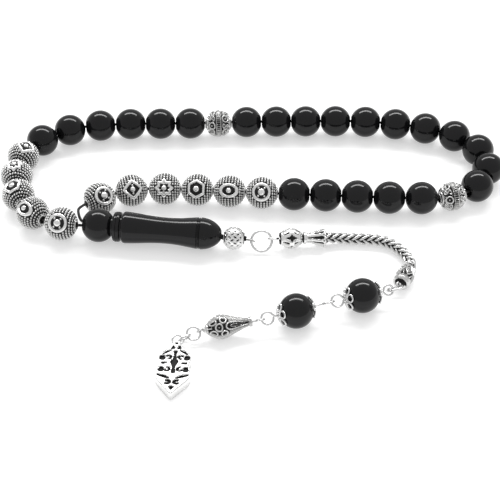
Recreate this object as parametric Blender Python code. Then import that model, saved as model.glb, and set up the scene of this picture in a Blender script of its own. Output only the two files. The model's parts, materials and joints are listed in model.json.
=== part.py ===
"""Prayer beads (misbaha): 33 beads and two separators threaded on one cord, a turned imame, and a
silver tassel of rings, chain, pinned beads and an openwork pendant, laid out on a table at z = 0.

Metres, +Z up; the lengths below are in millimetres and MM turns them into metres. Every bead's
origin is on its own bore, and every ring, pin and chain piece hangs from an empty at the point that
it swings round, in one chain of empties from the tip bead to the pendant."""

from collections import namedtuple
from math import cos, pi, radians, sin, sqrt

import bmesh
import bpy
import numpy as np
from mathutils import Matrix, Vector

MM = 0.001
UP = Vector((0, 0, 1))

# Beads: radius, half length from mouth to mouth, as a sphere cut off by its drilled mouths.
BLACK_RADIUS = 5.15
BLACK_HALF = 4.9
SILVER_RADIUS = 5.25
SILVER_HALF = 5.03
SEPARATOR_RADIUS = 4.6
SEPARATOR_HALF = 4.4
SEPARATOR_HEIGHT = 4.85  # the separators hang a little low on the cord
BORE_RADIUS = 1.15
COUNTERSINK_DEPTH = 0.6
BEAD_GAP = 0.14
FIRST_BEAD_AT = 57.0  # along the cord, from its knotted end to the middle of the first bead

# The order on the cord: 11 beads, a separator, 11 beads, a separator, 11 beads.
STRINGING = ["silver"] * 5 + ["black"] * 6 + ["separator"] + ["black"] * 11
STRINGING += ["separator"] + ["black"] * 5 + ["silver"] * 6

CORD_RADIUS = 0.45
CORD_POINTS = 80
CORD_BEND_SHARE = 6.0  # how much closer together the cord's points lie in its bends
ROUTE_STEPS = 5000  # steps along the cord when the beads are threaded on it
BEAD_SIDES = 12
FITTING_SIDES = 16
RING_SIDES = 12
WIRE_SIDES = 6
EYE_TURN = (22, 349, 27)  # degrees round an eye: where its wire starts, where it ends, and the step
EYE_NECK = 0.7  # from an eye's round to where its wire is straight

# The cord's route: out of the tip bead, along the imame, round the loop, and back beside itself.
CORD_ROUTE = [
    (-2.4, -1.62, 3.9),
    (-5.9, -1.5, 3.9),
    (-8.6, -1.35, 4.0),
    (-10.6, -1.0, 4.45),
    (-13.3, -0.61, 4.78),
    (-33.2, 1.89, 4.8),
    (-47.5, 3.7, 4.8),
    (-53.0, 4.1, 4.95),
    (-59.0, 4.2, 5.2),
    (-67.8, 9.0, 5.2),
    (-73.8, 18.0, 5.2),
    (-75.75, 28.2, 5.2),
    (-75.55, 38.4, 5.2),
    (-71.2, 47.8, 5.2),
    (-62.8, 54.6, 5.2),
    (-52.4, 57.6, 5.2),
    (-38.0, 58.7, 5.2),
    (-22.6, 58.9, 5.2),
    (-3.0, 59.8, 5.2),
    (17.0, 60.2, 5.2),
    (37.2, 60.0, 5.2),
    (47.4, 58.7, 5.2),
    (57.4, 56.2, 5.2),
    (67.0, 51.9, 5.2),
    (73.8, 44.4, 5.2),
    (76.4, 34.8, 5.2),
    (72.4, 24.8, 5.2),
    (63.4, 18.9, 5.2),
    (53.2, 17.5, 5.2),
    (37.6, 18.1, 5.2),
    (12.6, 19.6, 5.2),
    (-7.8, 21.0, 5.2),
    (-28.6, 22.4, 5.2),
    (-38.7, 21.6, 5.2),
    (-47.6, 17.8, 5.2),
    (-51.6, 14.4, 5.7),
    (-53.3, 11.0, 6.8),
    (-53.8, 8.2, 7.7),
    (-53.45, 6.0, 7.55),
    (-52.65, 4.65, 6.45),
    (-51.2, 4.15, 5.86),
    (-47.5, 3.7, 5.82),
    (-33.2, 1.89, 5.8),
    (-13.3, -0.61, 5.8),
    (-10.6, -1.0, 5.5),
    (-8.6, -1.35, 5.0),
    (-5.9, -1.5, 4.88),
    (-2.4, -1.62, 4.86),
]

# The imame lies along this line, from the mouth of its ball to its tip. Its outline, and those of the
# other turned pieces, are points of (along, radius).
IMAME_START = Vector((-52.56, 4.34, 5.3))
IMAME_TURN = radians(-7.2)
IMAME_BALL_RADIUS = 5.2
IMAME_MOUTH_RADIUS = 2.3
IMAME_BORE_RADIUS = 1.5
IMAME_NECK_ANGLE = 0.62  # where the ball runs into the collar, from its far pole
IMAME_COLLAR = [(10.1, 3.1), (10.1, 4.5), (11.2, 4.7), (12.3, 4.5), (12.3, 3.6), (12.8, 3.6)]
IMAME_BODY = [(13.1, 4.7), (13.8, 4.9), (17.5, 4.6), (21.5, 4.2), (26.0, 4.0), (30.0, 4.15)]
IMAME_SWELL = [(33.5, 4.55), (36.0, 4.85), (36.3, 4.6), (36.7, 4.6), (37.0, 4.9), (39.0, 4.6)]
IMAME_TIP = [(41.0, 3.7), (42.4, 2.6), (43.1, 1.7), (42.6, IMAME_BORE_RADIUS)]
IMAME_COUNTERSINK = 1.4

TIP_CENTRE = Vector((-5.9, -1.5, 4.4))
TIP_ALONG = Vector((1.0, -0.04, -0.02))
TIP_RADIUS = 3.5
TIP_HALF = 3.1
TIP_BORE = 1.2

# Every ring, and every eye or loop that a ring passes through, is a loop of round wire: its centre,
# the way that it faces, the radius to the middle of its wire, and the radius of the wire.
Loop = namedtuple("Loop", "centre facing radius wire")
PIN_WIRE = 0.33
CORD_END = Loop(Vector((-2.4, -1.62, 4.4)), UP, 0.4, CORD_RADIUS)
THREAD_RING = Loop(Vector((-0.8, -1.75, 3.75)), Vector((0.2, 0.64, 0.74)), 1.15, 0.3)
JUMP_RING = Loop(Vector((2.5, -1.7, 3.4)), Vector((0.0, -0.77, 0.64)), 3.1, 0.4)
CROWN_EYE = Loop(Vector((6.0, -1.2, 3.95)), Vector((0.0, 0.62, 0.78)), 1.45, PIN_WIRE)
END_RING = Loop(Vector((41.36, -24.16, 4.0)), Vector((-0.24, 0.5, 0.77)), 2.6, 0.36)
PIN_1_START = Loop(Vector((39.12, -25.92, 4.85)), Vector((0.0, -0.77, 0.64)), 1.5, PIN_WIRE)
PIN_1_END = Loop(Vector((24.0, -31.3, 5.5)), Vector((0.0, -0.77, 0.64)), 1.8, PIN_WIRE)
PIN_2_START = Loop(Vector((21.42, -31.9, 5.4)), Vector((-0.13, 0.63, 0.76)), 1.7, PIN_WIRE)
PIN_2_END = Loop(Vector((3.9, -38.1, 4.9)), Vector((0.0, -0.77, 0.64)), 1.78, PIN_WIRE)
RING_A = Loop(Vector((-16.92, -42.2, 2.85)), Vector((0.1, -0.55, 0.83)), 1.9, 0.33)
RING_B = Loop(Vector((-19.4, -43.35, 2.15)), Vector((-0.48, 0.7, 0.52)), 1.92, 0.33)

# The crown bead turns on its pin, and the pin ends inside the flared cap.
CROWN_END = Vector((21.9, 0.5, 3.0))
CROWN_BEAD_AT = 2.0
FLARED_CAP_AT = 9.3
CROWN_PIN_LENGTH = 11.5
CROWN_BARREL = [(0, 0.7), (0, 1.9), (0.7, 2.1), (2.3, 3.1), (3.5, 3.25), (4.7, 3.1), (6.3, 2.1)]
CROWN_BARREL += [(6.9, 1.9), (6.9, 0.7)]
FLARED_CAP = [(0, 0.7), (0, 1.9), (0.9, 1.9), (0.9, 1.5), (1.9, 1.5), (3.4, 2.0), (5.4, 2.6)]
FLARED_CAP += [(6.6, 2.8), (6.6, 2.35), (3.2, 1.7), (3.0, 0.7)]

END_CAP_START, END_CAP_END = Vector((46.4, -14.0, 2.95)), Vector((43.1, -20.9, 2.95))
END_CAP = [(1.4, 0), (1.2, 1.5), (0.0, 2.0), (1.2, 2.3), (3.0, 2.75), (4.9, 2.75), (6.2, 2.4)]
END_CAP += [(7.0, 2.6), (7.5, 2.3), (7.6, 0)]
END_CAP_LOOP_AT = 8.7
END_CAP_LOOP_RADIUS = 1.1

# The two black tassel beads sit this share of the way along their pins.
TASSEL_SHARES = {1: 0.51, 2: 0.53}
TASSEL_BEAD_RADIUS = 5.1
TASSEL_BEAD_HALF = 4.9
TASSEL_BORE = 0.65
FLOWER_CAP_SHELL = (5.3, 5.7)  # inner and outer radius of the caps that hug the beads
FLOWER_CAP_ANGLES = (9, 20, 31)  # degrees from the bead's pole

CONE_START, CONE_END = Vector((2.2, -38.42, 4.7)), Vector((-15.25, -41.46, 3.3))
CONE = [(1.2, 0), (1.2, 0.42), (2.7, 0.42), (2.7, 1.5), (3.3, 1.6), (3.6, 1.3), (6.0, 1.85)]
CONE += [(9.0, 2.9), (10.8, 3.55), (11.8, 3.6), (13.2, 3.2), (15.0, 2.1), (16.4, 0.9)]
CONE += [(16.9, 0.55), (16.9, 0)]
CONE_NECK_LOOP_AT = 0.35
CONE_NECK_LOOP_RADIUS = 1.2
CONE_POINT_LOOP_AT = 17.65
CONE_POINT_LOOP_RADIUS = 0.9
CONE_POINT_LOOP_WIRE = 0.3

# The pendant's outline runs down from its top, as points of (down, half width).
PENDANT_TOP, PENDANT_BOTTOM = Vector((-21.4, -45.2, 0.0)), Vector((-22.5, -65.75, 0.0))
PENDANT_THICKNESS = 3.0
PENDANT_HALF = [(0.0, 0.9), (1.6, 1.3), (3.4, 2.6), (5.2, 4.2), (6.6, 4.5), (9.4, 4.15)]
PENDANT_HALF += [(12.2, 4.75), (13.6, 4.85), (16.0, 3.7), (18.6, 1.7), (20.3, 0.4)]
PENDANT_LOOP_ABOVE = 1.25
PENDANT_LOOP_HEIGHT = 2.0
PENDANT_LOOP_RADIUS = 1.5

# The chain runs from inside the flared cap to inside the end cap, in three pieces that bend at
# their joints.
CHAIN_RADIUS = 1.85
CHAIN_GAP = 0.35
CHAIN_STEPS = 400
CHAIN_BREAKS = [125, 250]  # the steps where one length ends and the next begins
CHAIN_LENGTH_POINTS = 8
CHAIN_WIDTHS = [0.5, 0.92, 1.0, 1.0, 1.0, 1.0, 1.0, 0.92, 0.5]
CHAIN_ROUTE = [
    (21.5, 0.5, 3.0),
    (24.5, 1.1, 2.6),
    (28.1, 1.3, 2.1),
    (33.3, 1.0, 2.1),
    (37.3, 0.6, 2.1),
    (40.4, -0.5, 2.1),
    (43.6, -3.2, 2.1),
    (45.9, -6.9, 2.15),
    (46.9, -10.4, 2.5),
    (46.6, -13.4, 2.9),
]


def clear_scene():
    for thing in list(bpy.data.objects):
        bpy.data.objects.remove(thing)


def make_material(name, colour, roughness, metallic):
    material = bpy.data.materials.new(name)
    material.use_nodes = True
    shader = material.node_tree.nodes["Principled BSDF"]
    shader.inputs["Base Color"].default_value = (*colour, 1.0)
    shader.inputs["Roughness"].default_value = roughness
    shader.inputs["Metallic"].default_value = metallic
    return material


def add_object(name, data, material):
    thing = bpy.data.objects.new(name, data)
    data.materials.append(material)
    bpy.context.scene.collection.objects.link(thing)
    return thing


def finish_mesh(name, shape, material):
    """Close a bmesh into an object, facing out and shaded smooth but for its sharp edges."""
    bmesh.ops.remove_doubles(shape, verts=shape.verts, dist=1e-6)
    bmesh.ops.recalc_face_normals(shape, faces=shape.faces)
    mesh = bpy.data.meshes.new(name)
    shape.to_mesh(mesh)
    shape.free()
    mesh.shade_smooth()
    mesh.set_sharp_from_angle(angle=radians(40))
    return add_object(name, mesh, material)


def turned(name, outline, sides, material):
    """A piece turned on its local Z from a closed outline of (along, radius) points in millimetres.
    A point with radius 0 lies on the axis."""
    shape = bmesh.new()
    rings = []
    for along, radius in outline:
        if radius == 0:
            rings.append([shape.verts.new((0, 0, along * MM))] * sides)
            continue
        angles = [2 * pi * k / sides for k in range(sides)]
        spots = [(radius * cos(a) * MM, radius * sin(a) * MM, along * MM) for a in angles]
        rings.append([shape.verts.new(spot) for spot in spots])
    for first, second in zip(rings, rings[1:] + rings[:1]):
        for k in range(sides):
            corners = [first[k], first[k - 1], second[k - 1], second[k]]
            corners = list(dict.fromkeys(corners))
            if len(corners) > 2:
                shape.faces.new(corners)
    return finish_mesh(name, shape, material)


def aim(thing, origin, along):
    """Put a turned piece at origin (millimetres) with its local Z along a direction, and its local X
    as near to straight up as it can be."""
    axis = along.normalized()
    side = axis.cross(UP).normalized()
    top = side.cross(axis)
    turn = Matrix((top, side, axis)).transposed().to_4x4()
    thing.matrix_world = Matrix.Translation(origin * MM) @ turn


def bead_outline(radius, half, bore=BORE_RADIUS, steps=6, sink=COUNTERSINK_DEPTH):
    """A drilled sphere whose mouths are countersunk."""
    mouth = np.arccos(half / radius)
    arc = np.linspace(pi - mouth, mouth, steps + 1)
    outline = [(radius * cos(a), radius * sin(a)) for a in arc]
    return outline + [(half - sink, bore), (sink - half, bore)]


def smooth_curve(points, count, bend_share=0.0):
    """Count points on the natural cubic spline through points: evenly spaced, or closer together in
    the bends when bend_share is over 0."""
    knots = np.array(points, float)
    spans = np.linalg.norm(np.diff(knots, axis=0), axis=1)
    at = np.concatenate([[0], np.cumsum(spans)])
    size = len(knots)
    matrix, right = np.eye(size), np.zeros((size, 3))
    slopes = np.diff(knots, axis=0) / spans[:, None]
    for k in range(1, size - 1):
        matrix[k, k - 1 : k + 2] = spans[k - 1], 2 * (spans[k - 1] + spans[k]), spans[k]
        right[k] = 6 * (slopes[k] - slopes[k - 1])
    bends = np.linalg.solve(matrix, right)
    fine = np.linspace(0, at[-1], 6000)
    span = np.clip(np.searchsorted(at, fine, side="right") - 1, 0, size - 2)
    width = spans[span][:, None]
    left, rest = (fine - at[span])[:, None], (at[span + 1] - fine)[:, None]
    curve = (bends[span] * rest**3 + bends[span + 1] * left**3) / (6 * width)
    curve += (knots[span] / width - bends[span] * width / 6) * rest
    curve += (knots[span + 1] / width - bends[span + 1] * width / 6) * left
    steps = np.diff(curve, axis=0)
    reach = np.linalg.norm(steps, axis=1)
    heading = steps / reach[:, None]
    turning = np.linalg.norm(np.diff(heading, axis=0, append=heading[-1:]), axis=1) / reach
    spent = np.concatenate([[0], np.cumsum(reach * (1 + bend_share * np.sqrt(turning)))])
    even = np.linspace(0, spent[-1], count)
    return np.stack([np.interp(even, spent, curve[:, k]) for k in range(3)], axis=1)


def tube(name, points, radius, material, thinning=None):
    """A solid round tube through points in millimetres, with filled ends."""
    curve = bpy.data.curves.new(name, "CURVE")
    curve.dimensions = "3D"
    curve.bevel_depth = radius * MM
    curve.bevel_resolution = 2
    curve.use_fill_caps = True
    spline = curve.splines.new("POLY")
    spline.points.add(len(points) - 1)
    for k, (spot, point) in enumerate(zip(spline.points, points)):
        spot.co = (*(Vector(point) * MM), 1.0)
        spot.radius = thinning[k] if thinning else 1.0
    spline.use_smooth = True
    return add_object(name, curve, material)


def support(radius, half, angle):
    """How far a cut-off sphere reaches in a direction at this angle from its bore."""
    mouth = np.arccos(half / radius)
    if angle > mouth:
        return radius
    return half * cos(angle) + radius * sin(mouth) * sin(angle)


def bead_sizes(kind):
    return {
        "black": (BLACK_RADIUS, BLACK_HALF),
        "silver": (SILVER_RADIUS, SILVER_HALF),
        "separator": (SEPARATOR_RADIUS, SEPARATOR_HALF),
    }[kind]


def threaded_places(route, step):
    """Centre and bore direction of every bead, each as close to the last as the cord's bend lets
    it lie. route is an evenly spaced curve with this step."""

    def place(index, half):
        reach = round(half / step)
        before, here, after = route[index - reach], route[index], route[index + reach]
        return (before + 2 * here + after) / 4, (after - before) / np.linalg.norm(after - before)

    index = round(FIRST_BEAD_AT / step)
    places, last = [], None
    for kind in STRINGING:
        radius, half = bead_sizes(kind)
        while True:
            centre, along = place(index, half)
            if last is None:
                break
            across = centre - last[0]
            if not across.any():
                index += 1
                continue
            apart = np.linalg.norm(across)
            angles = [np.arccos(min(1.0, across @ way / apart)) for way in (last[1], along)]
            room = apart - support(*last[2], angles[0]) - support(radius, half, angles[1])
            if room >= BEAD_GAP:
                break
            index += 1
        last = (centre, along, (radius, half))
        places.append((kind, centre, along))
    return places


def build_beads(materials, route, step):
    counts = {"black": 0, "silver": 0, "separator": 0}
    for kind, centre, along in threaded_places(route, step):
        counts[kind] += 1
        radius, half = bead_sizes(kind)
        name = f"separator_{counts[kind]}" if kind == "separator" else f"{kind}_bead_{counts[kind]:02d}"
        finish = materials["black" if kind == "black" else "silver"]
        height = SEPARATOR_HEIGHT if kind == "separator" else radius
        bead = turned(name, bead_outline(radius, half), BEAD_SIDES, finish)
        aim(bead, Vector((centre[0], centre[1], height)), Vector((along[0], along[1], 0)))


def build_imame(material):
    """Ball, double-rimmed collar, waisted body with a grooved swell, and a domed tip, on one bore."""
    ball = IMAME_BALL_RADIUS
    reach = sqrt(ball**2 - IMAME_MOUTH_RADIUS**2)
    arc = np.linspace(pi - np.arccos(reach / ball), IMAME_NECK_ANGLE, 7)
    outline = [(reach + ball * cos(a), ball * sin(a)) for a in arc]
    outline += IMAME_COLLAR + IMAME_BODY + IMAME_SWELL + IMAME_TIP
    outline += [(IMAME_COUNTERSINK, IMAME_BORE_RADIUS)]
    imame = turned("imame", outline, FITTING_SIDES, material)
    aim(imame, IMAME_START, Vector((cos(IMAME_TURN), sin(IMAME_TURN), 0)))


def build_tip_bead(silver):
    outline = bead_outline(TIP_RADIUS, TIP_HALF, TIP_BORE, sink=0.3)
    tip = turned("tip_bead", outline, BEAD_SIDES, silver)
    aim(tip, TIP_CENTRE, TIP_ALONG)


def ring(name, loop, material):
    """A closed ring of round wire."""
    turns = [2 * pi * k / WIRE_SIDES for k in range(WIRE_SIDES)]
    outline = [(loop.wire * sin(a), loop.radius + loop.wire * cos(a)) for a in turns]
    thing = turned(name, outline, RING_SIDES, material)
    aim(thing, loop.centre, loop.facing)
    return thing


def eye(loop, along):
    """The points of an open round eye, from one side of its neck round to the other."""
    side = loop.facing.cross(along).normalized()
    angles = [radians(a) for a in range(*EYE_TURN)]
    return [loop.centre + loop.radius * (along * cos(a) + side * sin(a)) for a in angles]


def build_eye_pin(number, start, end, silver):
    """A straight wire with an open round eye bent at each end."""
    along = (end.centre - start.centre).normalized()
    points = eye(start, along)[::-1]
    points += [start.centre + along * (start.radius + EYE_NECK)]
    points += [end.centre - along * (end.radius + EYE_NECK)]
    points += eye(end, -along)
    return tube(f"eye_pin_{number}", points, PIN_WIRE, silver)


def joined(base, extra):
    """Join extra to base for good, as one casting; extra stays as the unseen cutter."""
    extra.hide_render = True
    extra.display_type = "WIRE"
    union = base.modifiers.new("casting", "BOOLEAN")
    union.operation = "UNION"
    union.object = extra


def point_on(start, end, distance):
    return start + (end - start).normalized() * distance


def build_crown(silver):
    """The pin from the jump ring, the barrel bead that turns on it, and the flared cap it ends in."""
    start, along = CROWN_EYE.centre, (CROWN_END - CROWN_EYE.centre).normalized()
    points = eye(CROWN_EYE, along)[::-1]
    points += [start + along * (CROWN_EYE.radius + EYE_NECK), start + along * CROWN_PIN_LENGTH]
    tube("crown_pin", points, PIN_WIRE, silver)
    crown = turned("crown_bead", CROWN_BARREL, FITTING_SIDES, silver)
    aim(crown, start + along * CROWN_BEAD_AT, along)
    cap = turned("flared_cap", FLARED_CAP, FITTING_SIDES, silver)
    aim(cap, start + along * FLARED_CAP_AT, along)


def build_chain(silver):
    """Three lengths of the square woven chain, tapered where they meet so that each can swing. It
    returns the points that they swing round."""
    route = smooth_curve(CHAIN_ROUTE, CHAIN_STEPS + 1)
    ends = [0, *CHAIN_BREAKS, CHAIN_STEPS]
    length = np.linalg.norm(np.diff(route, axis=0), axis=1).sum()
    gap = round(CHAIN_GAP / 2 / (length / CHAIN_STEPS))
    for number, (first, last) in enumerate(zip(ends, ends[1:]), start=1):
        first += gap if number > 1 else 0
        last -= gap if last < CHAIN_STEPS else 0
        spots = np.linspace(first, last, CHAIN_LENGTH_POINTS + 1).round().astype(int)
        tube(f"chain_{number}", route[spots], CHAIN_RADIUS, silver, CHAIN_WIDTHS)
    return [Vector(route[spot]) for spot in ends]


def build_end_cap(silver):
    """The barrel at the chain's end, with its cast loop, which is returned."""
    cap = turned("end_cap", END_CAP, FITTING_SIDES, silver)
    aim(cap, END_CAP_START, END_CAP_END - END_CAP_START)
    centre = point_on(END_CAP_START, END_CAP_END, END_CAP_LOOP_AT)
    loop = Loop(centre, Vector((0.8, -0.35, 0.42)), END_CAP_LOOP_RADIUS, PIN_WIRE)
    joined(cap, ring("end_cap_loop", loop, silver))
    return loop


def build_pinned_bead(number, start, end, materials):
    """A black bead between two flower caps on a wire pin with an eye at each end."""
    black, silver = materials["black"], materials["silver"]
    pin = build_eye_pin(number, start, end, silver)
    along = end.centre - start.centre
    middle = start.centre + along * TASSEL_SHARES[number]
    outline = bead_outline(TASSEL_BEAD_RADIUS, TASSEL_BEAD_HALF, TASSEL_BORE)
    bead = turned(f"tassel_bead_{number}", outline, BEAD_SIDES, black)
    aim(bead, middle, along)
    inside, outside = FLOWER_CAP_SHELL
    angles = [radians(a) for a in FLOWER_CAP_ANGLES]
    outline = [(outside * cos(a), outside * sin(a)) for a in angles]
    outline += [(inside * cos(a), inside * sin(a)) for a in reversed(angles)]
    for side, way in (("a", -1), ("b", 1)):
        cap = turned(f"flower_cap_{number}{side}", outline, BEAD_SIDES, silver)
        aim(cap, middle, along * way)
    return pin


def build_cone(silver):
    """The cone bead, cast with a loop at its neck and a small one at its point, which it returns."""
    cone = turned("cone_bead", CONE, FITTING_SIDES, silver)
    aim(cone, CONE_START, CONE_END - CONE_START)
    neck = Loop(point_on(CONE_START, CONE_END, CONE_NECK_LOOP_AT), Vector((-0.18, 0.63, 0.76)),
                CONE_NECK_LOOP_RADIUS, PIN_WIRE)
    joined(cone, ring("cone_neck_loop", neck, silver))
    point = Loop(point_on(CONE_START, CONE_END, CONE_POINT_LOOP_AT), Vector((-0.48, 0.7, 0.52)),
                 CONE_POINT_LOOP_RADIUS, CONE_POINT_LOOP_WIRE)
    joined(cone, ring("cone_point_loop", point, silver))
    return neck, point


def build_pendant(silver):
    """A flat leaf-shaped box under a cast loop, which is returned."""
    shape = bmesh.new()
    rim = [(-w, -d) for d, w in PENDANT_HALF] + [(w, -d) for d, w in reversed(PENDANT_HALF)]
    corners = [shape.verts.new((x * MM, y * MM, 0)) for x, y in rim]
    base = shape.faces.new(corners)
    grown = bmesh.ops.extrude_face_region(shape, geom=[base])
    top = [v for v in grown["geom"] if isinstance(v, bmesh.types.BMVert)]
    bmesh.ops.translate(shape, verts=top, vec=UP * PENDANT_THICKNESS * MM)
    pendant = finish_mesh("pendant", shape, silver)
    back = (PENDANT_TOP - PENDANT_BOTTOM).normalized()
    turn = Matrix((back.cross(UP), back, UP)).transposed().to_4x4()
    pendant.matrix_world = Matrix.Translation(PENDANT_TOP * MM) @ turn
    centre = PENDANT_TOP + back * PENDANT_LOOP_ABOVE + UP * PENDANT_LOOP_HEIGHT
    loop = Loop(centre, Vector((0.1, -0.3, 0.95)), PENDANT_LOOP_RADIUS, PIN_WIRE)
    joined(pendant, ring("pendant_loop", loop, silver))
    return loop


def link(first, second):
    """The point between the wires of two linked loops, which one swings round on the other."""
    across = second.centre - first.centre
    return first.centre + across * (across.length + first.radius - second.radius) / (2 * across.length)


def hang(pivots):
    """Hang each piece from an empty at the point it swings round, and each empty from the one
    before it. pivots is a list of (point, names of the pieces)."""
    before = None
    for point, names in pivots:
        pivot = bpy.data.objects.new(f"swing_{names[0]}", None)
        bpy.context.scene.collection.objects.link(pivot)
        pivot.matrix_world = Matrix.Translation(point * MM)
        for name in names:
            piece = bpy.data.objects[name]
            piece.parent = pivot
            piece.matrix_parent_inverse = pivot.matrix_world.inverted()
        if before:
            pivot.parent = before
            pivot.matrix_parent_inverse = before.matrix_world.inverted()
        before = pivot


def main():
    clear_scene()
    materials = {
        "black": make_material("polished_black", (0.012, 0.012, 0.013), 0.12, 0.0),
        "silver": make_material("antique_silver", (0.72, 0.71, 0.69), 0.28, 1.0),
        "cord": make_material("black_cord", (0.015, 0.014, 0.014), 0.8, 0.0),
    }
    silver = materials["silver"]
    fine = smooth_curve(CORD_ROUTE, ROUTE_STEPS + 1)
    step = np.linalg.norm(np.diff(fine, axis=0), axis=1).mean()
    tube("cord", smooth_curve(CORD_ROUTE, CORD_POINTS, CORD_BEND_SHARE), CORD_RADIUS, materials["cord"])
    build_beads(materials, fine, step)
    build_imame(materials["black"])
    build_tip_bead(silver)
    ring("thread_ring", THREAD_RING, silver)
    ring("jump_ring", JUMP_RING, silver)
    build_crown(silver)
    chain_ends = build_chain(silver)
    cap_loop = build_end_cap(silver)
    ring("end_ring", END_RING, silver)
    build_pinned_bead(1, PIN_1_START, PIN_1_END, materials)
    build_pinned_bead(2, PIN_2_START, PIN_2_END, materials)
    neck_loop, point_loop = build_cone(silver)
    ring("ring_a", RING_A, silver)
    ring("ring_b", RING_B, silver)
    pendant_loop = build_pendant(silver)
    hang([
        (link(CORD_END, THREAD_RING), ["thread_ring"]),
        (link(THREAD_RING, JUMP_RING), ["jump_ring"]),
        (link(JUMP_RING, CROWN_EYE), ["crown_pin", "crown_bead", "flared_cap"]),
        (chain_ends[0], ["chain_1"]),
        (chain_ends[1], ["chain_2"]),
        (chain_ends[2], ["chain_3"]),
        (chain_ends[3], ["end_cap"]),
        (link(cap_loop, END_RING), ["end_ring"]),
        (link(END_RING, PIN_1_START), ["eye_pin_1", "tassel_bead_1", "flower_cap_1a", "flower_cap_1b"]),
        (link(PIN_1_END, PIN_2_START), ["eye_pin_2", "tassel_bead_2", "flower_cap_2a", "flower_cap_2b"]),
        (link(PIN_2_END, neck_loop), ["cone_bead"]),
        (link(point_loop, RING_A), ["ring_a"]),
        (link(RING_A, RING_B), ["ring_b"]),
        (link(RING_B, pendant_loop), ["pendant"]),
    ])


main()
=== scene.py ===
"""Misbaha prayer beads on a white table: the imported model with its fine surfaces.

Lengths below are in millimetres, and MM turns them into metres. Pieces that turn on a joint take their
place and direction from it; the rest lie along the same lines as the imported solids."""

import json
from math import acos, cos, pi, radians, sin, sqrt

import bmesh
import bpy
import numpy as np
from mathutils import Matrix, Vector


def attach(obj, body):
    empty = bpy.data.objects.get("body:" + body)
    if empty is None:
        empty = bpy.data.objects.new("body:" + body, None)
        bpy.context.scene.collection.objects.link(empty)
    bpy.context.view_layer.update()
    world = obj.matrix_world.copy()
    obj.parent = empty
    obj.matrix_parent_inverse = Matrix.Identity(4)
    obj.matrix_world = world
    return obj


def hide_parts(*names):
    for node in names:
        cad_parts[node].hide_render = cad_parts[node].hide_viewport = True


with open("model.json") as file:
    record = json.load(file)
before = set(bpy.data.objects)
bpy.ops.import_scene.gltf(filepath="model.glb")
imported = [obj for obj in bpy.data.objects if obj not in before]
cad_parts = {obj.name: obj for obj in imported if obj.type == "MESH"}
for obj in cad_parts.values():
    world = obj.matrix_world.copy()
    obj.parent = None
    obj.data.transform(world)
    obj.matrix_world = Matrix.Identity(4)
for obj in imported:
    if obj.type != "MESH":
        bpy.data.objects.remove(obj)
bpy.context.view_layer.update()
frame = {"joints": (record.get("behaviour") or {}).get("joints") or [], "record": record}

MM = 0.001
UP = Vector((0, 0, 1))
FRONT = Vector((0, -0.77, 0.64))  # between up and the near edge of the table
JOINTS = {joint["child"]: joint for joint in frame["joints"]}
BODIES = frame["record"]["behaviour"]["bodies"]
BODY_OF = {node: body for body, nodes in BODIES.items() for node in nodes}

CAMERA_ELEVATION = radians(39.6)
CAMERA_DISTANCE = 421.0
CAMERA_TARGET = Vector((-1.0, -1.8, 0.0))
CAMERA_LENS = 99.2

WHITE = (1.0, 1.0, 1.0, 1.0)
WORLD_STRENGTH = 0.72
STRIP_ELEVATION = radians(54)
STRIP_DISTANCE = 1.3  # metres, as its width and height are
STRIP_SIZE = (1.7, 0.22)
STRIP_RADIANCE = 15.0
TABLE_REACH = 3.0  # metres to each side
TABLE_GREY = (0.62, 0.62, 0.62)
TABLE_GLOW = 0.48

BLACK_RADIUS, BLACK_HALF = 5.15, 4.9
SILVER_GROUND = 4.88  # radius of the dark ground under the granules
GRANULE, SMALL_GRANULE = 0.375, 0.33
GRANULE_PITCH = 0.98
GRANULES_ROUND = 36  # in the row round the bead's middle
MOTIF_HEIGHT, MOTIF_SUNK = 0.42, 0.12
SEPARATOR_RADIUS, SEPARATOR_HALF = 4.6, 4.4
BORE_RADIUS = 1.15
TASSEL_RADIUS, TASSEL_HALF, TASSEL_BORE = 5.1, 4.9, 0.65
PIN_WIRE, PIN_SIDES = 0.33, 14
TIP_RADIUS, TIP_HALF = 3.5, 3.1
TIP_ALONG = Vector((1.0, -0.04, -0.02))

CORD_RADIUS = 0.45
CORD_STRANDS = 3
CORD_TWIST = 2.6  # length of one full turn of its strands
CORD_ROUTE = [
    (-2.4, -1.62, 3.9), (-5.9, -1.5, 3.9), (-8.6, -1.35, 4.0), (-10.6, -1.0, 4.45),
    (-13.3, -0.61, 4.78), (-33.2, 1.89, 4.8), (-47.5, 3.7, 4.8), (-53.0, 4.1, 4.95),
    (-59.0, 4.2, 5.2), (-67.8, 9.0, 5.2), (-73.8, 18.0, 5.2), (-75.75, 28.2, 5.2),
    (-75.55, 38.4, 5.2), (-71.2, 47.8, 5.2), (-62.8, 54.6, 5.2), (-52.4, 57.6, 5.2),
    (-38.0, 58.7, 5.2), (-22.6, 58.9, 5.2), (-3.0, 59.8, 5.2), (17.0, 60.2, 5.2),
    (37.2, 60.0, 5.2), (47.4, 58.7, 5.2), (57.4, 56.2, 5.2), (67.0, 51.9, 5.2),
    (73.8, 44.4, 5.2), (76.4, 34.8, 5.2), (72.4, 24.8, 5.2), (63.4, 18.9, 5.2),
    (53.2, 17.5, 5.2), (37.6, 18.1, 5.2), (12.6, 19.6, 5.2), (-7.8, 21.0, 5.2),
    (-28.6, 22.4, 5.2), (-38.7, 21.6, 5.2), (-47.6, 17.8, 5.2), (-51.6, 14.4, 5.7),
    (-53.3, 11.0, 6.8), (-53.8, 8.2, 7.7), (-53.45, 6.0, 7.55), (-52.65, 4.65, 6.45),
    (-51.2, 4.15, 5.86), (-47.5, 3.7, 5.82), (-33.2, 1.89, 5.8), (-13.3, -0.61, 5.8),
    (-10.6, -1.0, 5.5), (-8.6, -1.35, 5.0), (-5.9, -1.5, 4.88), (-2.4, -1.62, 4.86),
]

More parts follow.
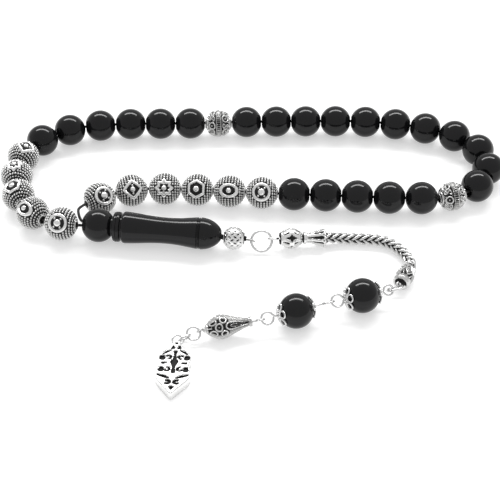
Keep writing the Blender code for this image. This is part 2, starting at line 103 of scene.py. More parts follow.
# Lines that the fittings lie along, and the rings: centre, facing, radius to mid-wire, wire radius.
IMAME_START = Vector((-52.56, 4.34, 5.3))
IMAME_TURN = radians(-7.2)
THREAD_RING = (Vector((-0.8, -1.75, 3.75)), Vector((0.2, 0.64, 0.74)), 1.15, 0.3)
JUMP_RING = (Vector((2.5, -1.7, 3.4)), Vector((0.0, -0.77, 0.64)), 3.1, 0.4)
END_RING = (Vector((41.36, -24.16, 4.0)), Vector((-0.24, 0.5, 0.77)), 2.6, 0.36)
RING_A = (Vector((-16.92, -42.2, 2.85)), Vector((0.1, -0.55, 0.83)), 1.9, 0.33)
RING_B = (Vector((-19.4, -43.35, 2.15)), Vector((-0.48, 0.7, 0.52)), 1.92, 0.33)
CROWN_START, CROWN_END = Vector((6.0, -1.2, 3.95)), Vector((21.9, 0.5, 3.0))
CROWN_EYE = (CROWN_START, Vector((0.0, 0.62, 0.78)), 1.45, PIN_WIRE)
END_CAP_START, END_CAP_END = Vector((46.4, -14.0, 2.95)), Vector((43.1, -20.9, 2.95))
PIN_1 = ((Vector((39.12, -25.92, 4.85)), Vector((0.0, -0.77, 0.64)), 1.5, PIN_WIRE),
         (Vector((24.0, -31.3, 5.5)), Vector((0.0, -0.77, 0.64)), 1.8, PIN_WIRE))
PIN_2 = ((Vector((21.42, -31.9, 5.4)), Vector((-0.13, 0.63, 0.76)), 1.7, PIN_WIRE),
         (Vector((3.9, -38.1, 4.9)), Vector((0.0, -0.77, 0.64)), 1.78, PIN_WIRE))
CONE_START, CONE_END = Vector((2.2, -38.42, 4.7)), Vector((-15.25, -41.46, 3.3))
PENDANT_TOP, PENDANT_BOTTOM = Vector((-21.4, -45.2, 0.0)), Vector((-22.5, -65.75, 0.0))
PENDANT_THICKNESS = 3.0
CHAIN_ROUTE = [
    (21.5, 0.5, 3.0), (24.5, 1.1, 2.6), (28.1, 1.3, 2.1), (33.3, 1.0, 2.1), (37.3, 0.6, 2.1),
    (40.4, -0.5, 2.1), (43.6, -3.2, 2.1), (45.9, -6.9, 2.15), (46.9, -10.4, 2.5), (46.6, -13.4, 2.9),
]
CHAIN_BREAKS = (125 / 400, 250 / 400)
CHAIN_STEPS = 1200
CHAIN_PITCH = 2.35  # between one strand and the next on a face
CHAIN_CORE, CHAIN_STRAND = 1.15, 0.43
CHAIN_LIFT, CHAIN_DIP = 1.4, 0.45  # of a strand above the chain's centreline, and less at its ends
CHAIN_SLANT = 1.75
CHAIN_GAP = 0.15  # at either side of a break

# How far points may move, in grid steps, onto the edge of a pattern, and how steep it has to be.
SNAP_WITHIN, SNAP_LIMIT, SNAP_STEEPNESS = 0.55, 0.45, 0.3
FAR = 1e3

PENDANT_STEP, PENDANT_BEVEL = 0.11, 0.32
HOLE_SPREAD = 0.06
WEB_LEVEL = 0.8

# DARK faces take the dark silver: oxide with painted shade in grounds, hollows, bores and openings.
BRIGHT, DARK, POLISHED = 0, 1, 2


# ---- camera, light, table

def make_camera():
    camera = bpy.data.objects.new("camera", bpy.data.cameras.new("camera"))
    bpy.context.scene.collection.objects.link(camera)
    back = Vector((0, -cos(CAMERA_ELEVATION), sin(CAMERA_ELEVATION)))
    camera.location = (CAMERA_TARGET + back * CAMERA_DISTANCE) * MM
    camera.rotation_euler = back.to_track_quat("Z", "Y").to_euler()
    camera.data.lens = CAMERA_LENS
    camera.data.sensor_width = 36.0
    camera.data.clip_start = 0.01
    bpy.context.scene.camera = camera


def make_light():
    """A white world and one long lamp, high behind the loop."""
    scene = bpy.context.scene
    scene.view_settings.view_transform = "Standard"
    world = bpy.data.worlds.new("studio")
    scene.world = world
    world.use_nodes = True
    background = world.node_tree.nodes["Background"]
    background.inputs["Color"].default_value = WHITE
    background.inputs["Strength"].default_value = WORLD_STRENGTH
    strip = bpy.data.lights.new("strip_light", "AREA")
    strip.shape = "RECTANGLE"
    strip.size, strip.size_y = STRIP_SIZE
    strip.energy = STRIP_RADIANCE * pi * strip.size * strip.size_y
    lamp = bpy.data.objects.new("strip_light", strip)
    scene.collection.objects.link(lamp)
    toward = Vector((0.0, cos(STRIP_ELEVATION), sin(STRIP_ELEVATION)))
    lamp.location = toward * STRIP_DISTANCE
    lamp.rotation_euler = toward.to_track_quat("Z", "Y").to_euler()


def make_table():
    mesh = bpy.data.meshes.new("table")
    reach = TABLE_REACH
    corners = [(-reach, -reach, 0), (reach, -reach, 0), (reach, reach, 0), (-reach, reach, 0)]
    mesh.from_pydata(corners, [], [(0, 1, 2, 3)])
    table = bpy.data.objects.new("table", mesh)
    bpy.context.scene.collection.objects.link(table)
    white = plain_material("white_table", TABLE_GREY, 0.7, 0.0)
    shader = white.node_tree.nodes["Principled BSDF"]
    shader.inputs["Emission Color"].default_value = WHITE
    shader.inputs["Emission Strength"].default_value = TABLE_GLOW
    mesh.materials.append(white)


# ---- materials

def plain_material(name, colour, roughness, metallic):
    material = bpy.data.materials.new(name)
    material.use_nodes = True
    shader = material.node_tree.nodes["Principled BSDF"]
    shader.inputs["Base Color"].default_value = (*colour, 1.0)
    shader.inputs["Roughness"].default_value = roughness
    shader.inputs["Metallic"].default_value = metallic
    return material


def patterned(name, colour, gloss, metallic, scale, shades, roughness, bump, specular=None):
    """A material that varies with noise of this scale (per metre): shades and roughness are
    (low, high), and bump is the height of the noise in metres."""
    material = plain_material(name, colour, gloss, metallic)
    nodes, links = material.node_tree.nodes, material.node_tree.links
    shader = nodes["Principled BSDF"]
    if specular is not None:
        shader.inputs["Specular IOR Level"].default_value = specular
    place = nodes.new("ShaderNodeTexCoord")
    noise = nodes.new("ShaderNodeTexNoise")
    noise.inputs["Scale"].default_value = scale
    noise.inputs["Detail"].default_value = 4.0
    links.new(place.outputs["Object"], noise.inputs["Vector"])
    spread = nodes.new("ShaderNodeMapRange")
    spread.inputs["From Min"].default_value, spread.inputs["From Max"].default_value = 0.3, 0.7
    spread.inputs["To Min"].default_value, spread.inputs["To Max"].default_value = roughness
    links.new(noise.outputs["Fac"], spread.inputs["Value"])
    links.new(spread.outputs["Result"], shader.inputs["Roughness"])
    mix = nodes.new("ShaderNodeMix")
    mix.data_type = "RGBA"
    mix.inputs["A"].default_value, mix.inputs["B"].default_value = (*shades[0], 1.0), (*shades[1], 1.0)
    links.new(noise.outputs["Fac"], mix.inputs["Factor"])
    links.new(mix.outputs["Result"], shader.inputs["Base Color"])
    height = nodes.new("ShaderNodeBump")
    height.inputs["Distance"].default_value = bump
    links.new(noise.outputs["Fac"], height.inputs["Height"])
    links.new(height.outputs["Normal"], shader.inputs["Normal"])
    return material


def make_materials():
    """The materials that each kind of piece is made of, in the order of its material numbers."""
    black = patterned("polished_black", (0.012, 0.012, 0.013), 0.1, 0.0, 900.0,
                      ((0.0035, 0.0035, 0.004), (0.006, 0.006, 0.0065)), (0.1, 0.15), 0.000002, 0.27)
    bright = patterned("bright_silver", (0.9, 0.9, 0.9), 0.25, 1.0, 2500.0,
                       ((0.55, 0.55, 0.545), (0.7, 0.7, 0.695)), (0.22, 0.36), 0.000006)
    polished = patterned("polished_silver", (0.9, 0.9, 0.9), 0.25, 1.0, 2500.0,
                         ((0.72, 0.72, 0.715), (0.86, 0.86, 0.855)), (0.2, 0.34), 0.000006)
    # Dark silver for oxide and painted shade: it darkens hollows and openings for the shade that falls
    # in them as well as for their oxide.
    oxide_and_shade = patterned("oxide_and_shade_silver", (0.02, 0.02, 0.02), 0.7, 0.0, 3000.0,
                      ((0.008, 0.008, 0.008), (0.022, 0.022, 0.022)), (0.6, 0.8), 0.00001, 0.2)
    wire = patterned("silver_wire", (0.92, 0.92, 0.92), 0.2, 1.0, 1500.0,
                     ((0.6, 0.6, 0.6), (0.74, 0.74, 0.74)), (0.14, 0.26), 0.000004)
    cord = patterned("black_cord", (0.015, 0.014, 0.014), 0.8, 0.0, 6000.0,
                     ((0.008, 0.008, 0.008), (0.03, 0.029, 0.028)), (0.7, 0.9), 0.00004)
    return {"black": [black], "bead": [bright, oxide_and_shade, polished], "antiqued_and_shaded": [bright, oxide_and_shade],
            "pierced": [polished, oxide_and_shade], "wire": [wire], "cap": [wire, oxide_and_shade], "cord": [cord]}


# ---- shapes

def smooth_curve(points, count):
    """Count evenly spaced points on the natural cubic spline through points."""
    knots = np.array(points, float)
    spans = np.linalg.norm(np.diff(knots, axis=0), axis=1)
    at = np.concatenate([[0], np.cumsum(spans)])
    size, width = knots.shape
    matrix, right = np.eye(size), np.zeros((size, width))
    slopes = np.diff(knots, axis=0) / spans[:, None]
    for k in range(1, size - 1):
        matrix[k, k - 1 : k + 2] = spans[k - 1], 2 * (spans[k - 1] + spans[k]), spans[k]
        right[k] = 6 * (slopes[k] - slopes[k - 1])
    bends = np.linalg.solve(matrix, right)
    fine = np.linspace(0, at[-1], 4 * count)
    span = np.clip(np.searchsorted(at, fine, side="right") - 1, 0, size - 2)
    across = spans[span][:, None]
    left, rest = (fine - at[span])[:, None], (at[span + 1] - fine)[:, None]
    curve = (bends[span] * rest**3 + bends[span + 1] * left**3) / (6 * across)
    curve += (knots[span] / across - bends[span] * across / 6) * rest
    curve += (knots[span + 1] / across - bends[span + 1] * across / 6) * left
    reach = np.concatenate([[0], np.cumsum(np.linalg.norm(np.diff(curve, axis=0), axis=1))])
    even = np.linspace(0, reach[-1], count)
    return np.stack([np.interp(even, reach, curve[:, k]) for k in range(width)], axis=1)


def unit(vectors):
    return vectors / np.maximum(np.linalg.norm(vectors, axis=-1, keepdims=True), 1e-12)


def frames_along(path, closed):
    """Two directions across a path at each of its points, which turn as little as they can."""
    if closed:
        heading = unit(np.roll(path, -1, axis=0) - np.roll(path, 1, axis=0))
    else:
        heading = unit(np.gradient(path, axis=0))
    first = np.zeros_like(path)
    seed = np.eye(3)[np.argmin(abs(heading[0]))]
    for k, ahead in enumerate(heading):
        seed = unit(seed - ahead * (seed @ ahead))
        first[k] = seed
    return first, np.cross(heading, first), heading


class Shape:
    """Surfaces gathered in millimetres in a piece's own frame, each face with its material number."""

    def __init__(self):
        self.points, self.faces, self.looks, self.count = [], [], [], 0

    def add(self, points, faces, looks):
        self.points.append(np.asarray(points, float).reshape(-1, 3))
        self.faces += [tuple(int(i) + self.count for i in face) for face in faces]
        self.looks += list(looks) if np.ndim(looks) else [looks] * len(faces)
        self.count += len(self.points[-1])

    def grid(self, rows, look=BRIGHT, around=False, onward=False, looks=None):
        """A surface through rows of points. around joins each row's ends, and onward the last row to
        the first."""
        rows = np.asarray(rows, float)
        high, wide = rows.shape[:2]
        index = np.arange(high * wide).reshape(high, wide)
        if onward:
            index = np.vstack([index, index[:1]])
        if around:
            index = np.hstack([index, index[:, :1]])
        corners = [index[:-1, :-1], index[1:, :-1], index[1:, 1:], index[:-1, 1:]]
        faces = np.stack(corners, axis=-1).reshape(-1, 4)
        self.add(rows, faces, look if looks is None else looks.reshape(-1))

    def turned(self, outline, sides=48, look=BRIGHT, onward=False):
        """A surface of (along, radius) points turned about the Z axis."""
        angles = np.arange(sides) * 2 * pi / sides
        outline = np.asarray(outline, float)
        rows = [[(r * cos(a), r * sin(a), z) for a in angles] for z, r in outline]
        self.grid(rows, look, around=True, onward=onward)

    def wire(self, path, radius, look=BRIGHT, closed=False, sides=8, lobes=0, turns=None):
        """A round wire along a path, with round ends. radius may change along the path. lobes makes
        it that many strands, which go once round in a length of turns."""
        path = np.asarray(path, float)
        radius = np.broadcast_to(radius, len(path)).astype(float)
        first, second, heading = frames_along(path, closed)
        if not closed:
            ends = [(-1.0, 0.05), (-0.72, 0.7), (-0.3, 0.95)]
            start = [path[0] + heading[0] * radius[0] * out for out, _ in ends]
            stop = [path[-1] - heading[-1] * radius[-1] * out for out, _ in reversed(ends)]
            path = np.vstack([start, path, stop])
            widths = [radius[0] * w for _, w in ends]
            radius = np.concatenate([widths, radius, [radius[-1] * w for _, w in reversed(ends)]])
            first = np.vstack([first[:1]] * 3 + [first] + [first[-1:]] * 3)
            second = np.vstack([second[:1]] * 3 + [second] + [second[-1:]] * 3)
        angles = np.arange(sides) * 2 * pi / sides
        reach = radius[:, None] * np.ones(sides)
        if lobes:
            along = np.concatenate([[0], np.cumsum(np.linalg.norm(np.diff(path, axis=0), axis=1))])
            twist = angles + along[:, None] * 2 * pi / turns
            reach = reach * (0.8 + 0.2 * abs(np.cos(lobes / 2 * twist)))
        rows = path[:, None] + reach[..., None] * (
            first[:, None] * np.cos(angles)[:, None] + second[:, None] * np.sin(angles)[:, None])
        self.grid(rows, look, around=True, onward=closed)

    def ring(self, centre, facing, radius, wire, look=BRIGHT, steps=40, sides=8):
        """A closed ring of round wire."""
        facing = unit(np.asarray(facing, float))
        first = unit(np.cross(facing, np.eye(3)[np.argmin(abs(facing))]))
        second = np.cross(facing, first)
        angles = np.arange(steps)[:, None] * 2 * pi / steps
        path = np.asarray(centre, float) + radius * (first * np.cos(angles) + second * np.sin(angles))
        self.wire(path, wire, look, closed=True, sides=sides)

    def granules(self, centres, normals, radii, look=BRIGHT, sides=8):
        """Little domes that stand on a surface."""
        centres, normals = np.asarray(centres, float), unit(np.asarray(normals, float))
        radii = np.broadcast_to(radii, len(centres))
        levels = [(-0.4, 1.0), (0.3, 0.96), (0.74, 0.67), (1.0, 0.0)]
        turn = np.arange(sides) * 2 * pi / sides
        for centre, normal, radius in zip(centres, normals, radii):
            first = unit(np.cross(normal, np.eye(3)[np.argmin(abs(normal))]))
            second = np.cross(normal, first)
            rows = [
                [centre + radius * (normal * h + (first * cos(t) + second * sin(t)) * w) for t in turn]
                for h, w in levels[:-1]
            ]
            dome = np.array(rows).reshape(-1, 3)
            top = len(dome)
            faces = []
            for level in range(2):
                for k in range(sides):
                    a, b = level * sides + k, level * sides + (k + 1) % sides
                    faces.append((a, b, b + sides, a + sides))
            faces += [(2 * sides + k, 2 * sides + (k + 1) % sides, top) for k in range(sides)]
            self.add(np.vstack([dome, centre + radius * normal]), faces, look)

    def mesh(self, name, materials, angle=50):
        data = bpy.data.meshes.new(name)
        data.from_pydata(np.vstack(self.points) * MM, [], self.faces)
        data.polygons.foreach_set("material_index", self.looks)
        for material in materials:
            data.materials.append(material)
        shape = bmesh.new()
        shape.from_mesh(data)
        bmesh.ops.remove_doubles(shape, verts=shape.verts, dist=1e-7)
        bmesh.ops.recalc_face_normals(shape, faces=shape.faces)
        shape.to_mesh(data)
        shape.free()
        data.shade_smooth()
        data.set_sharp_from_angle(angle=radians(angle))
        return data


def put(name, data, node, slot, origin=Vector(), along=UP, top=Vector((1, 0, 0))):
    """Show a copy of a mesh in place of a CAD node, riding on its body: local Z lies along a direction,
    and local X as near to top as it can."""
    axis = Vector(along).normalized()
    side = axis.cross(Vector(top)).normalized()
    turn = Matrix((side.cross(axis), side, axis)).transposed().to_4x4()
    data = data.copy()
    data.transform(Matrix.Translation(Vector(origin) * MM) @ turn)
    data.name = name
    piece = bpy.data.objects.new(name, data)
    bpy.context.scene.collection.objects.link(piece)
    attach(piece, BODY_OF[node])
    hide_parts(node)


def show(name, shape, looks, node, *where, slot="antique_silver", angle=50):
    """Make a shape's mesh and put it in place of a CAD node."""
    put(name, shape.mesh(name, looks, angle), node, slot, *where)


def joint_place(body):
    """A spinning piece's centre, in millimetres, and the direction of its bore."""
    joint = JOINTS[body]
    return Vector(joint["pos_m"]) / MM, Vector(joint["axis"])


def bead_outline(radius, half, bore):
    """A drilled sphere with softly rounded mouths, as a closed outline."""
    mouth = acos(half / radius)
    angles = np.linspace(pi - mouth - 0.03, mouth + 0.03, 48)
    outline = [(radius * cos(a), radius * sin(a)) for a in angles]
    rim = radius * sin(mouth)
    side = [(half - 0.03, rim - 0.04), (half - 0.16, (rim + bore) / 2 + 0.05), (half - 0.5, bore)]
    return outline + side + [(-z, r) for z, r in reversed(side)]


# ---- patterns cut into turned pieces

def arc(centre, radius, start, stop, steps=12, squeeze=1.0):
    """Points round part of a circle, in degrees, squeezed across."""
    angles = np.radians(np.linspace(start, stop, steps))
    return [(centre[0] + radius * cos(a), centre[1] + radius * squeeze * sin(a)) for a in angles]


def distance_to(strokes, x, y, stretch=1.0):
    """The distance from points (x, y) to the nearest stroke's edge. A stroke is a list of (x, y) or
    (x, y, half width), and the half width for points that give none. y is stretched first."""
    nearest = np.full(np.broadcast(x, y).shape, FAR)
    for points, width in strokes:
        points = [(*p, width) if len(p) == 2 else p for p in points]
        if len(points) == 1:
            points = points * 2
        for (ax, ay, aw), (bx, by, bw) in zip(points, points[1:]):
            dx, dy = bx - ax, (by - ay) * stretch
            px, py = x - ax, (y - ay) * stretch
            share = np.clip((px * dx + py * dy) / np.maximum(dx * dx + dy * dy, 1e-9), 0, 1)
            away = np.hypot(px - share * dx, py - share * dy) - (aw + (bw - aw) * share)
            nearest = np.minimum(nearest, away)
    return nearest


def relief(shape, profile, pattern, step, depth, cut=False, soft=0.1):
    """A surface turned from a profile of (along, radius) points, with a pattern of wires that stand on
    a dark ground, or of slots cut into a bright one. pattern is (how many times it goes round, strokes
    in (along, share of the repeat))."""
    profile = np.asarray(profile, float)
    reach = np.concatenate([[0], np.cumsum(np.linalg.norm(np.diff(profile, axis=0), axis=1))])
    spots = np.linspace(0, reach[-1], max(4, round(reach[-1] / step)) + 1)
    line = np.stack([np.interp(spots, reach, profile[:, k]) for k in range(2)], axis=1)
    heading = unit(np.gradient(line, axis=0))
    outward = np.stack([-heading[:, 1], heading[:, 0]], axis=1)
    if outward[:, 1].sum() < 0:
        outward = -outward
    columns = max(24, round(2 * pi * profile[:, 1].max() / step))
    angles = np.arange(columns) * 2 * pi / columns
    around = line[:, 1][:, None]
    field = np.full((len(line), columns), FAR)
    for repeats, strokes in pattern:
        share = angles * repeats / (2 * pi)
        for shift in (-1, 0, 1):
            place = ((share + 0.5) % 1.0) - 0.5 + shift
            stretch = 2 * pi / repeats * around
            away = distance_to(strokes, line[:, 0][:, None], place[None, :], stretch)
            field = np.minimum(field, away)
    # Points close to an edge of the pattern move onto it, so that it runs cleanly.
    gap, turn = spots[1] - spots[0], angles[1]
    slope = np.gradient(field, gap, axis=0)
    lean = (np.roll(field, -1, axis=1) - np.roll(field, 1, axis=1)) / (2 * turn * around)
    steep = slope**2 + lean**2
    near = (abs(field) < SNAP_WITHIN * gap) & (steep > SNAP_STEEPNESS)
    near[[0, -1]] = False
    shift = np.where(near, -field / np.maximum(steep, SNAP_STEEPNESS), 0.0)
    most, most_turn = SNAP_LIMIT * gap, SNAP_LIMIT * turn
    moved = np.clip(spots[:, None] + np.clip(shift * slope, -most, most), 0, reach[-1])
    angle = angles + np.clip(shift * lean / around, -most_turn, most_turn)
    field = np.where(near, 0.0, field)
    if cut:
        height = np.clip(field / soft, 0, 1)
    else:
        height = 1 - (1 - np.clip(-field / (soft * 2), 0, 1)) ** 2
    sunk = (height - 1) * depth
    along = np.interp(moved, reach, profile[:, 0]) + outward[:, 0][:, None] * sunk
    radius = np.interp(moved, reach, profile[:, 1]) + outward[:, 1][:, None] * sunk
    radius = np.maximum(radius, 0.02)
    rows = np.stack([radius * np.cos(angle), radius * np.sin(angle), along], axis=-1)
    # The ground and the slot floors take the dark look: oxide with painted shade in the hollows.
    wrapped = np.hstack([field, field[:, :1]])
    middle = (wrapped[:-1, :-1] + wrapped[1:, :-1] + wrapped[1:, 1:] + wrapped[:-1, 1:]) / 4
    shape.grid(rows, around=True, looks=np.where((middle > 0) == cut, BRIGHT, DARK))


# ---- cord

def build_cord(materials):
    """The cord's full length as twisted strands, laid out along its route through the beads."""
    route = smooth_curve(CORD_ROUTE, 3000)
    shape = Shape()
    shape.wire(route, CORD_RADIUS, sides=12, lobes=CORD_STRANDS, turns=CORD_TWIST)
    mesh = shape.mesh("cord_strands", materials["cord"], angle=180)
    cord = bpy.data.objects.new("cord_strands", mesh)
    bpy.context.scene.collection.objects.link(cord)
    path = [tuple(point * MM) for point in smooth_curve(CORD_ROUTE, 900)]
    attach(cord, "strand")
    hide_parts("cord")


# ---- beads

# Raised figures: half their width in each direction, the share of it where the band starts, and the
# radius of the boss.
MOTIFS = {
    "lozenge": dict(outer=lambda a: 3.6 / (abs(cos(a)) ** 1.1 + abs(sin(a)) ** 1.1),
                    inner=0.6, heart=0.85),
    "oval": dict(outer=lambda a: 1 / sqrt((cos(a) / 2.35) ** 2 + (sin(a) / 3.4) ** 2),
                 inner=0.6, heart=0.85),
    "ring": dict(outer=lambda a: 3.2, inner=0.66, heart=1.15),
    "flower": dict(outer=lambda a: 2.85 + 0.45 * cos(8 * a), inner=0.5, heart=0.85),
    "hexagon": dict(outer=lambda a: 3.3 / cos((a % (pi / 3)) - pi / 6) * cos(pi / 6),
                    inner=0.66, heart=1.0),
}
MOTIF_ORDER = ("lozenge", "ring", "oval", "hexagon", "flower")


def sphere_point(radius, away, turn, side):
    """A point on a sphere an arc away from where its middle faces: side is 1 for +X, or -1."""
    across = radius * sin(away)
    return (side * radius * cos(away), across * cos(turn) * side, across * sin(turn))


def add_motif(shape, motif, radius, side):
    """A raised, polished figure on the bead's side, of a rounded band round a boss."""
    turns = np.arange(96) * 2 * pi / 96
    inner = motif["inner"]
    rows = []
    for share in (0.0, 0.04, 0.16, 0.34, 0.5, 0.66, 0.84, 0.96, 1.0):
        rise = sqrt(max(0.0, 1 - abs(2 * share - 1) ** 2.4))
        lift = -MOTIF_SUNK + (MOTIF_HEIGHT + MOTIF_SUNK) * rise
        row = []
        for turn in turns:
            away = motif["outer"](turn) * (inner + (1.0 - inner) * share)
            row.append(sphere_point(radius + lift, away / radius, turn, side))
        rows.append(row)
    shape.grid(rows, POLISHED, around=True)
    rows = []
    for share in (1.0, 0.94, 0.75, 0.45, 0.15, 0.01):
        lift = -MOTIF_SUNK + (MOTIF_HEIGHT + MOTIF_SUNK) * sqrt(1 - share**2.4)
        away = motif["heart"] * share / radius
        rows.append([sphere_point(radius + lift, away, turn, side) for turn in turns[::3]])
    shape.grid(rows, POLISHED, around=True)


def silver_bead_mesh(name, motif, materials):
    """A ball covered with rows of granules on a dark ground, round a raised figure on either side."""
    shape = Shape()
    ground = SILVER_GROUND
    mouth = acos(4.82 / ground)
    steps = np.linspace(pi - mouth, mouth, 40)
    outline = [(ground * cos(a), ground * sin(a)) for a in steps]
    # The dark ground is oxide with painted shade between the granules.
    shape.turned(outline, 64, DARK)
    for end in (-1, 1):
        rim = [(4.66, 1.15), (4.3, BORE_RADIUS), (2.0, BORE_RADIUS)]
        # Dark bore: painted shade inside it, with oxide.
        shape.turned([(end * z, r) for z, r in rim], 40, DARK)
        path = [(1.42 * cos(t), 1.42 * sin(t), end * 4.74) for t in np.arange(48) * 2 * pi / 48]
        shape.wire(path, 0.27, closed=True)
    centres, normals, radii = [], [], []
    first, last = 0.4, pi - 0.4
    rows = round((last - first) * ground / GRANULE_PITCH)
    for polar in np.linspace(first, last, rows + 1):
        count = round(GRANULES_ROUND * sin(polar))
        for k in range(count):
            turn = (k + 0.5) * 2 * pi / count
            normal = np.array([sin(polar) * cos(turn), sin(polar) * sin(turn), cos(polar)])
            side = 1 if normal[0] >= 0 else -1
            away = acos(min(1.0, abs(normal[0]))) * ground
            edge = motif["outer"](np.arctan2(normal[2], normal[1] * side))
            on_band = edge * motif["inner"] - 0.36 < away < edge + 0.16
            if on_band or away < motif["heart"] + 0.32:
                continue
            normals.append(normal)
            centres.append(normal * (ground - 0.02))
            radii.append(GRANULE if sin(polar) > 0.6 else SMALL_GRANULE)
    shape.granules(centres, normals, radii)
    for side in (1, -1):
        add_motif(shape, motif, ground, side)
    return shape.mesh(name, materials["bead"])


def black_bead_mesh(name, radius, half, bore, materials):
    """A plain drilled ball."""
    shape = Shape()
    shape.turned(bead_outline(radius, half, bore), 72, onward=True)
    return shape.mesh(name, materials["black"], angle=60)


def separator_mesh(materials):
    """A filigree ball: a ribbed belt between two bright bands, with rings and scrolls on either side."""
    shape = Shape()
    radius, half = SEPARATOR_RADIUS - 0.02, SEPARATOR_HALF
    mouth = acos(half / SEPARATOR_RADIUS)
    angles = np.linspace(pi - mouth, mouth, 120)
    profile = [(radius * cos(a), radius * sin(a)) for a in angles]
    belts = [([(end * z, -0.5), (end * z, 0.5)], 0.2) for end in (-1, 1) for z in (0.78, 4.05)]
    ribs = [([(-0.5, 0), (0.5, 0)], 0.19)]
    curl = [(2.05, 0.19), (1.75, 0.12), (1.45, 0.19), (1.55, 0.32), (2.3, 0.33), (2.9, 0.24),
            (3.35, 0.25), (3.5, 0.36), (3.2, 0.44), (2.9, 0.38)]
    curl = [tuple(p) for p in smooth_curve(curl, 26)]
    cells = []
    for end in (-1, 1):
        cells += [
            (arc((end * 2.42, -0.25 * end), 1.06, 0, 360, 24, 0.22), 0.3),
            ([(end * 2.42, -0.25 * end)], 0.32),
            ([(end * x, y * end) for x, y in curl], 0.25),
            ([(end * 3.45, 0.02 * end)], 0.22),
            ([(end * 1.38, 0.02 * end)], 0.2),
            ([(end * 3.4, 0.5 * end)], 0.2),
        ]
    relief(shape, profile, [(1, belts), (38, ribs), (5, cells)], 0.09, 0.55)
    for end in (-1, 1):
        # Dark bore: painted shade inside it, with oxide.
        inside = [(4.3, 1.2), (3.9, BORE_RADIUS), (1.5, BORE_RADIUS)]
        shape.turned([(end * z, r) for z, r in inside], 40, DARK)
        shape.ring((0, 0, end * 4.24), (0, 0, 1), 1.4, 0.2)
    return shape.mesh("separator", materials["antiqued_and_shaded"])


def build_beads(materials):
    black = black_bead_mesh("black_bead", BLACK_RADIUS, BLACK_HALF, BORE_RADIUS, materials)
    silver = {name: silver_bead_mesh(f"silver_{name}", motif, materials)
              for name, motif in MOTIFS.items()}
    separator = separator_mesh(materials)
    pieces = [(f"silver_bead_{n:02d}", "filigree", silver[MOTIF_ORDER[n % 5]], "antique_silver")
              for n in range(1, 12)]
    pieces += [(f"black_bead_{n:02d}", "polished", black, "polished_black") for n in range(1, 23)]
    pieces += [(f"separator_{n}", "filigree", separator, "antique_silver") for n in (1, 2)]
    for node, finish, mesh, slot in pieces:
        place, axis = joint_place(node)
        put(f"{node}_{finish}", mesh, node, slot, place, axis, FRONT)


# ---- the imame and its end

def build_imame(materials):
    """The long turned bead where both ends of the cord come together."""
    ball = [(5.2 - 5.2 * cos(a), 5.2 * sin(a)) for a in np.linspace(0.47, pi - 0.62, 44)]
    mouth = [(2.4, 1.5), (0.95, 1.62), (0.62, 1.85), (0.56, 2.1)]
    collar = [
        (9.75, 3.06), (10.1, 3.16), (10.12, 4.3), (10.25, 4.45), (10.6, 4.58), (11.05, 4.66),
        (11.15, 4.6), (11.2, 4.48), (11.26, 4.6), (11.4, 4.66), (11.8, 4.58), (12.15, 4.42),
        (12.28, 4.25), (12.3, 3.62), (12.45, 3.55), (12.8, 3.58), (12.86, 3.7), (12.9, 4.5),
        (13.05, 4.68), (13.4, 4.84),
    ]
    waist = [(13.8, 4.88), (17.5, 4.6), (21.5, 4.2), (26.0, 4.0), (30.0, 4.15), (33.5, 4.55),
             (35.7, 4.82)]
    groove = [
        (35.95, 4.86), (36.05, 4.62), (36.2, 4.56), (36.35, 4.62), (36.42, 4.8), (36.55, 4.82),
        (36.63, 4.62), (36.78, 4.56), (36.92, 4.64), (37.0, 4.86),
    ]
    tip = smooth_curve([(37.3, 4.88), (39.0, 4.6), (41.0, 3.7), (42.4, 2.6), (43.0, 1.85)], 24).tolist()
    end = [(43.05, 1.66), (42.9, 1.54), (42.3, 1.5), (39.0, 1.5)]
    shape = Shape()
    shape.turned(mouth + ball + collar + smooth_curve(waist, 60).tolist() + groove + tip + end, 96)
    along = Vector((cos(IMAME_TURN), sin(IMAME_TURN), 0))
    show("imame_polished", shape, materials["black"], "imame", IMAME_START, along, UP,
         slot="polished_black", angle=40)


def build_tip_bead(materials):
    """The ball pierced by rows of slanting slots."""
    shape = Shape()
    mouth = acos(TIP_HALF / TIP_RADIUS)
    angles = np.linspace(pi - mouth, mouth, 90)
    profile = [(TIP_RADIUS * cos(a), TIP_RADIUS * sin(a)) for a in angles]
    rows = ((-2.25, 0.0, 0.14, 0.05), (-1.35, 0.5, 0.3, 0.1), (-0.45, 0.0, 0.32, -0.09),
            (0.5, 0.5, 0.32, 0.09), (1.4, 0.0, 0.3, -0.1), (2.25, 0.5, 0.14, 0.05))
    slots = []
    for z, turn, size, lean in rows:
        for shift in (turn, turn - 1):
            ends = (z - size, shift - lean, 0.12), (z + size, shift + lean, 0.12)
            slots.append(([ends[0], (z, shift, 0.22), ends[1]], 0.1))
    relief(shape, profile, [(11, slots)], 0.08, 0.3, cut=True)
    for end in (-1, 1):
        # Dark insides: painted shade with oxide; the rim ring is dark at the +Z end only.
        inside = [(3.05, 1.6), (2.95, 1.28), (2.5, 1.2), (0.0, 1.2)]
        shape.turned([(end * z, r) for z, r in inside], 40, DARK)
        shape.ring((0, 0, end * 3.02), (0, 0, 1), 1.62, 0.17, look=DARK if end > 0 else BRIGHT)
    place, _ = joint_place("tip_bead")
    show("tip_bead_pierced", shape, materials["pierced"], "tip_bead",
         place, TIP_ALONG, Vector((0, -0.5, 0.87)))


def wire_ring(node, loop, materials):
    """A ring of polished wire, with the seam where its ends meet."""
    shape = Shape()
    centre, facing, radius, wire = loop
    angles = np.radians(np.linspace(94, 446, 96))
    shape.wire([(radius * cos(a), radius * sin(a), 0) for a in angles], wire, sides=PIN_SIDES)
    show(f"{node}_wire", shape, materials["wire"], node, centre, facing, angle=60)


